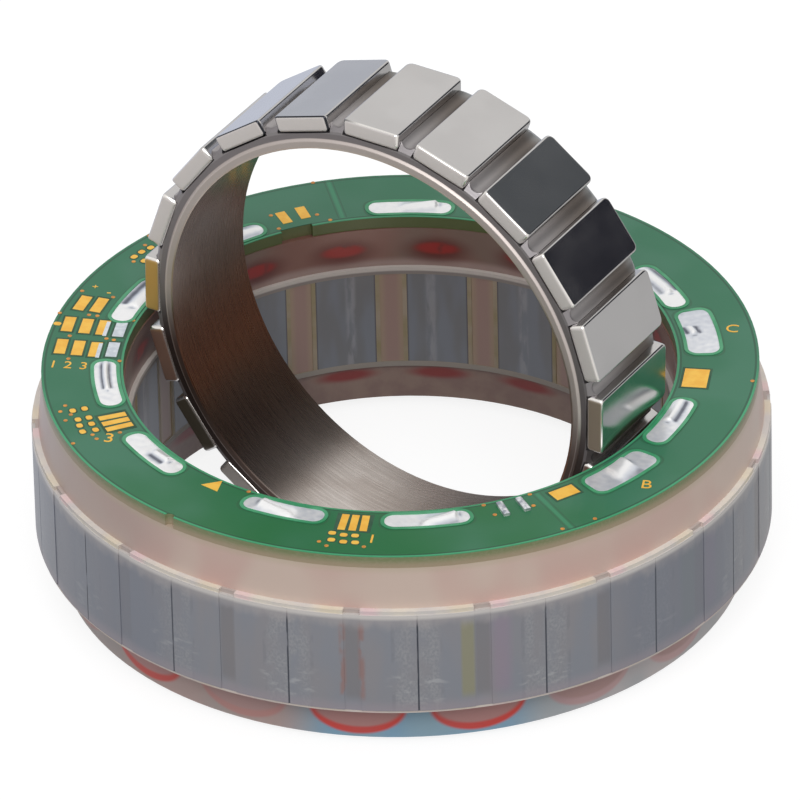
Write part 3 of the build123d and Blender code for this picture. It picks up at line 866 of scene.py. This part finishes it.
def add_joint(bm, angle, slot, wire):
    """Adds one solder joint: a pool that fills its slot and climbs round a wire lying in it."""
    inner, width, half_angle, corner = slot
    start, tip, start_shift, tip_shift, lift, wide, inner_fold, outer_fold, low_tone, high_tone = wire
    made = bmesh.ops.create_grid(bm, x_segments=JOINT_STEPS[0], y_segments=JOINT_STEPS[1], size=1)
    top = {face for vert in made["verts"] for face in vert.link_faces}
    middle = inner + width / 2
    half_length = math.radians(half_angle) * middle
    for vert in made["verts"]:
        # The square grid is drawn in at the slot's round ends and laid along its arc.
        along = math.sin(vert.co.x * math.pi / 2)
        across = math.sin(vert.co.y * math.pi / 2)
        into_end = min(max(abs(along) * half_length - half_length + corner, 0), corner)
        half = width / 2 - corner + math.sqrt(corner * corner - into_end * into_end)
        spot = on_board(middle + across * half, angle + math.degrees(along * half_length / middle), 0)

        # The wire comes up from its start and breaks off at its tip, and folds run beside both.
        run = (along - start) / (tip - start)
        covered = eased(run / START_REACH) * eased((1.0 - run) * abs(tip - start) / TIP_REACH)
        shift = between(start_shift, tip_shift, min(max(run, 0), 1))
        apart = (across - shift) * width / 2 / WIRE_HALF / wide
        uneven = mathutils.noise.noise(spot * UNEVEN_RATE)
        hump = covered * math.exp(-abs(apart * (1 + HUMP_UNEVEN * uneven)) ** HUMP_POWER * HUMP_FALL)
        fold = covered * math.exp(-((abs(apart) - FOLD_OUT) / FOLD_WIDE) ** 2)
        fold *= inner_fold if apart < 0 else outer_fold
        beyond_tip = (along - tip) * half_length * math.copysign(1, tip - start) - TIP_OUT
        fold += TIP_DARK * math.exp(-(beyond_tip / TIP_WIDE) ** 2 - (apart / 0.9) ** 2)

        pool = between(low_tone, high_tone, eased(along / 2 + 0.5))
        pool += CLOUD_TONE * mathutils.noise.noise(spot * CLOUD_RATE)
        # The tone holds painted light: a highlight on the wire's hump and shade in the folds and beyond the
        # tip.
        vert[bm.verts.layers.float["tone"]] = between(pool, WIRE_HIGHLIGHT, hump) * (1 - fold)
        shore = eased((1 - abs(across)) * half / SLOPE) * eased((1 - abs(along)) * half_length / SLOPE)
        height = POOL_HEIGHT + lift * hump * between(0.5, 1, run) - FOLD_DEPTH * fold
        spot.z = board_top + EDGE_HEIGHT + shore * (height + UNEVEN_HEIGHT * uneven)
        vert.co = spot
    sunk = bmesh.ops.extrude_face_region(bm, geom=list(top))
    for item in sunk["geom"]:
        if isinstance(item, bmesh.types.BMVert):
            item.co.z = board_top - JOINT_DEPTH


def add_slot_rim(bm, angle, slot):
    """Adds the narrow rim of solder mask round a slot, drawn flat and then bent along its arc."""
    inner, width, half_angle, _ = slot
    middle = inner + width / 2
    grown = 2 * (RIM_WIDTH - RIM_LAP)
    size = (2 * math.radians(half_angle) * middle + grown, width + grown, 1, 1)
    older = set(bm.faces)
    made = bmesh.ops.create_grid(bm, x_segments=1, y_segments=1, size=0.5, matrix=Matrix.Diagonal(size))
    bevelled(bm, made["verts"], RIM_CORNER, segments=8, affect="VERTICES")
    opening = [face for face in bm.faces if face not in older]
    bmesh.ops.inset_region(bm, faces=opening, thickness=RIM_WIDTH, use_boundary=True, use_even_offset=True)
    bmesh.ops.delete(bm, geom=opening, context="FACES")
    long_edges = [edge for edge in bm.edges if edge.calc_length() > RIM_CORNER * 2]
    bmesh.ops.subdivide_edges(bm, edges=long_edges, cuts=RIM_CUTS, use_grid_fill=True)
    raised(bm, [face for face in bm.faces if face not in older], RIM_HEIGHT)
    for vert in {vert for face in bm.faces if face not in older for vert in face.verts}:
        turned_to = angle + math.degrees(vert.co.x / middle)
        vert.co = on_board(middle + vert.co.y, turned_to, board_top + vert.co.z)


solder, tree, shader, here = new_finish("solder", Metallic=0.5, Roughness=0.3)
cloud = noise(tree, here, 1.8)
tone = add_node(tree, "Attribute", attribute_name="tone").outputs["Fac"]
tone = reckon(tree, "MULTIPLY_ADD", reckon(tree, "SUBTRACT", cloud, 0.5), 0.2, tone)
# Low tones give the folds' painted shade, high ones the painted highlight on the humps.
shade = blended(tree, tone, (88, 92, 106), (216, 220, 228), 0.0, 0.5)
paint(tree, shader, tinted(tree, shade, (255, 255, 255), fade(tree, tone, 0.4, 0.85)))
bump(tree, shader, cloud, depth=0.01)

plain_bar, tree, shader, here = new_finish("solder_bar", Metallic=0.6, Roughness=0.3)
cloud = noise(tree, here, 0.8, seed=4)
paint(tree, shader, blended(tree, cloud, (170, 174, 184), (250, 250, 252)))
bump(tree, shader, cloud, depth=0.02)
dress(plain_bar, "solder_bars")

for name, joints, slot, wires in (
    ("coil_solder", COIL_JOINTS, COIL_SLOT, COIL_WIRES),
    ("phase_solder", PHASE_JOINTS, PHASE_SLOT, PHASE_WIRES),
):
    bm = bmesh.new()
    bm.verts.layers.float.new("tone")
    for angle, wire in zip(joints, wires):
        add_joint(bm, angle, slot, wire)
    add_piece(name, bm, solder, "stator", [name + "_joints"], smooth=True)

rim_green, tree, shader, here = new_finish(
    "rim_green", Roughness=0.4, Coat_Weight=0.2, Coat_Roughness=0.1
)
cloud = noise(tree, here, 3, seed=5)
paint(tree, shader, blended(tree, cloud, (46, 142, 94), (74, 160, 114)))
bm = bmesh.new()
for joints, slot in ((COIL_JOINTS, COIL_SLOT), (PHASE_JOINTS, PHASE_SLOT)):
    for angle in joints:
        add_slot_rim(bm, angle, slot)
add_piece("slot_rims", bm, rim_green, "stator")


# Rotor hub: a ring turned from steel, with a ground flat for each magnet, ribs between them and
# a fine lip at both ends. The tool left rings in the bore.
ROTOR_AXIS = Vector((0.25, 0.6, 30.622))
BOTTOM = -90
BORE_EDGE = 26.5
LIP_EDGE = 27.6
RIB_FOOT = 28.3
# Heights over the axis across which painted shade darkens the near end downwards.
DARKER_DOWN = (2, -8)

group, place = place_group("places on the rotor", ("Radius", "Along", "Turn", "Up"))
rotor_places = group
sideways = reckon(group, "SUBTRACT", place["X"], ROTOR_AXIS.x)
upwards = reckon(group, "SUBTRACT", place["Z"], ROTOR_AXIS.z)
radius = hypotenuse(group, sideways, upwards)
turn = reckon(group, "ARCTAN2", upwards, sideways)
along = reckon(group, "SUBTRACT", place["Y"], ROTOR_AXIS.y)
close_group(group, Radius=radius, Along=along, Turn=turn, Up=upwards)

hub_steel, tree, shader, here = new_finish("hub_steel", Metallic=1.0)
spot = use_group(tree, rotor_places)
rings = noise(tree, here, 0.12, (60, 1, 60), detail=3)
cloud = noise(tree, here, 6, detail=3, seed=2)
# Round the bore the steel's colour is painted reflection, changing with the angle from the bottom:
# brightest there, with a dark band and a reddish one higher up.
from_bottom = turned_from(tree, spot["Turn"], BOTTOM)
shade = blended(tree, from_bottom, (168, 134, 108), (186, 176, 168), *radians(60, 110))
shade = tinted(tree, shade, (224, 216, 210), fade(tree, from_bottom, *radians(50, 18)))
shade = tinted(tree, shade, (150, 130, 116), fade(tree, cloud, 0.35, 0.65), 0.3)
painted_red_reflection = band(tree, from_bottom, *radians(62, 82, 18))
shade = tinted(tree, shade, (196, 124, 94), painted_red_reflection, 0.4)
painted_dark_reflection = band(tree, from_bottom, *radians(32, 60, 16))
shade = tinted(tree, shade, (112, 100, 98), painted_dark_reflection, 0.5)
low = fade(tree, from_bottom, *radians(80, 50))
shade = tinted(tree, shade, (142, 130, 122), fade(tree, rings, 0.4, 0.65), low, 0.2)

# The ribs and the near end with its lip are duller than the bore. Painted shade darkens the ribs towards
# the far end, where they turn lighter again, and the near end further down, and a painted highlight runs
# round the lip.
ribs = fade(tree, spot["Radius"], BORE_EDGE + 0.1, BORE_EDGE + 0.3)
outside = blended(tree, spot["Along"], (186, 182, 182), (132, 124, 118), -6, 4)
outside = tinted(tree, outside, (172, 174, 174), fade(tree, spot["Along"], 5, 7.5))
near = blended(tree, spot["Up"], (184, 175, 171), (112, 96, 88), *DARKER_DOWN)
painted_lip_highlight = band(tree, spot["Radius"], LIP_EDGE - 0.3, LIP_EDGE, 0.1)
near = tinted(tree, near, (232, 222, 218), painted_lip_highlight, 0.4)
hollow = blended(tree, spot["Up"], (132, 127, 129), (84, 74, 70), *DARKER_DOWN)
near = mixed(tree, fade(tree, spot["Radius"], LIP_EDGE + 0.02, LIP_EDGE + 0.1), near, hollow)
near = tinted(tree, near, (150, 146, 148), fade(tree, spot["Radius"], RIB_FOOT, RIB_FOOT + 0.1))
outside = mixed(tree, fade(tree, spot["Along"], -6.4, -6.8), outside, near)
paint(tree, shader, mixed(tree, ribs, shade, outside))
matt = reckon(tree, "MULTIPLY_ADD", ribs, 0.24, 0.18)
tree.links.new(reckon(tree, "MULTIPLY_ADD", rings, 0.2, matt), shader.inputs["Roughness"])
bump(tree, shader, reckon(tree, "MULTIPLY", rings, reckon(tree, "SUBTRACT", 1, ribs)), depth=0.002)
dress(hub_steel, "rotor_hub")


# Magnets: 20 sintered blocks, nickel plated to a mirror, with softly rounded corners and edges,
# bonded to the hub's flats.
MAGNETS = 20
MAGNET_SIZE = (2.1, 7.26, 14.7)
HALF_LENGTH = MAGNET_SIZE[2] / 2
# An edge further out than these lies at a block's end or on its face.
END_FROM = 7
FACE_FROM = 1
MAGNET_FLAT = 28.28
FIRST_MAGNET = 16.89
NEAR_CORNER = 0.55
FAR_CORNER = 0.85
TOP_EDGE = 0.3
LOW_EDGE = 0.5
# The ends' painted reflections by height over the rotor's axis: where each begins, where it is full, its
# tone.
END_REFLECTIONS = (
    (-4, -6, (136, 108, 94)),
    (-12, -14, (82, 76, 64)),
    (-19, -21, (176, 170, 164)),
    (3.5, 6, (214, 208, 205)),
)

nickel, tree, shader, here = new_finish("nickel")
spot = use_group(tree, rotor_places)
smudge = noise(tree, here, 7)
scratch = noise(tree, here, 0.4, (1, 8, 1), detail=3, seed=5)
shade = blended(tree, smudge, (206, 204, 203), (212, 210, 209))

# The ends were ground before plating and stay duller than the faces.
# A painted line along the near end's top edge: a dark reflection on the upper left magnets, a white glint
# on the others.
painted_edge_line = band(tree, spot["Along"], 0.08 - HALF_LENGTH, 0.3 - HALF_LENGTH, 0.04)
painted_dark_side = band(tree, spot["Turn"], *radians(94, 136, 6))
shade = mixed(tree, painted_edge_line, shade, tinted(tree, colour(248, 245, 241), (52, 54, 60), painted_dark_side))
from_middle = reckon(tree, "ABSOLUTE", spot["Along"])
on_end = fade(tree, from_middle, HALF_LENGTH - 0.12, HALF_LENGTH - 0.02)
right = reckon(tree, "COSINE", spot["Turn"])
# The ends' colours are painted reflections: golden on the right, then the listed ones by height.
end = blended(tree, right, (188, 152, 84), (150, 136, 120), -0.2, 0.2)
for begins, full, tone in END_REFLECTIONS:
    end = tinted(tree, end, tone, fade(tree, spot["Up"], begins, full))
paint(tree, shader, mixed(tree, on_end, shade, end))
tree.links.new(reckon(tree, "MULTIPLY_ADD", on_end, -0.5, 1), shader.inputs["Metallic"])
roughness = reckon(tree, "MULTIPLY_ADD", fade(tree, smudge, 0.4, 0.7), 0.05, 0.13)
roughness = reckon(tree, "MULTIPLY_ADD", on_end, 0.25, roughness)
tree.links.new(reckon(tree, "MULTIPLY_ADD", scratch, 0.05, roughness), shader.inputs["Roughness"])
bump(tree, shader, smudge, depth=0.006)

for number in range(MAGNETS):
    bm = bmesh.new()
    bmesh.ops.create_cube(bm, size=1, matrix=Matrix.Diagonal((*MAGNET_SIZE, 1)))
    for side, corner in ((1, NEAR_CORNER), (-1, FAR_CORNER)):
        at_end = [edge for edge in bm.edges if all(vert.co.z * side > END_FROM for vert in edge.verts)]
        upright = [edge for edge in at_end if abs(edge.verts[0].co.x - edge.verts[1].co.x) > 1]
        bevelled(bm, upright, corner, segments=5)
    for side, edge_size in ((1, TOP_EDGE), (-1, LOW_EDGE)):
        on_face = [edge for edge in bm.edges if all(vert.co.x * side > FACE_FROM for vert in edge.verts)]
        rim = [edge for edge in on_face if edge.calc_face_angle() > 1]
        bevelled(bm, rim, edge_size, segments=3)
    bmesh.ops.translate(bm, verts=bm.verts, vec=(MAGNET_FLAT + MAGNET_SIZE[0] / 2, 0, 0))
    spin = Matrix.Rotation(math.radians(FIRST_MAGNET + number * 360 / MAGNETS), 4, "Z")
    laid = Matrix.Translation(ROTOR_AXIS) @ Matrix.Rotation(math.pi / 2, 4, "X") @ spin
    bmesh.ops.transform(bm, matrix=laid, verts=bm.verts)
    node = f"magnet_{number + 1:02d}"
    piece = add_piece("nickel_" + node, bm, nickel, "rotor", [node])
    piece.data.shade_smooth()
    piece.modifiers.new("flat_faces", "WEIGHTED_NORMAL").keep_sharp = False
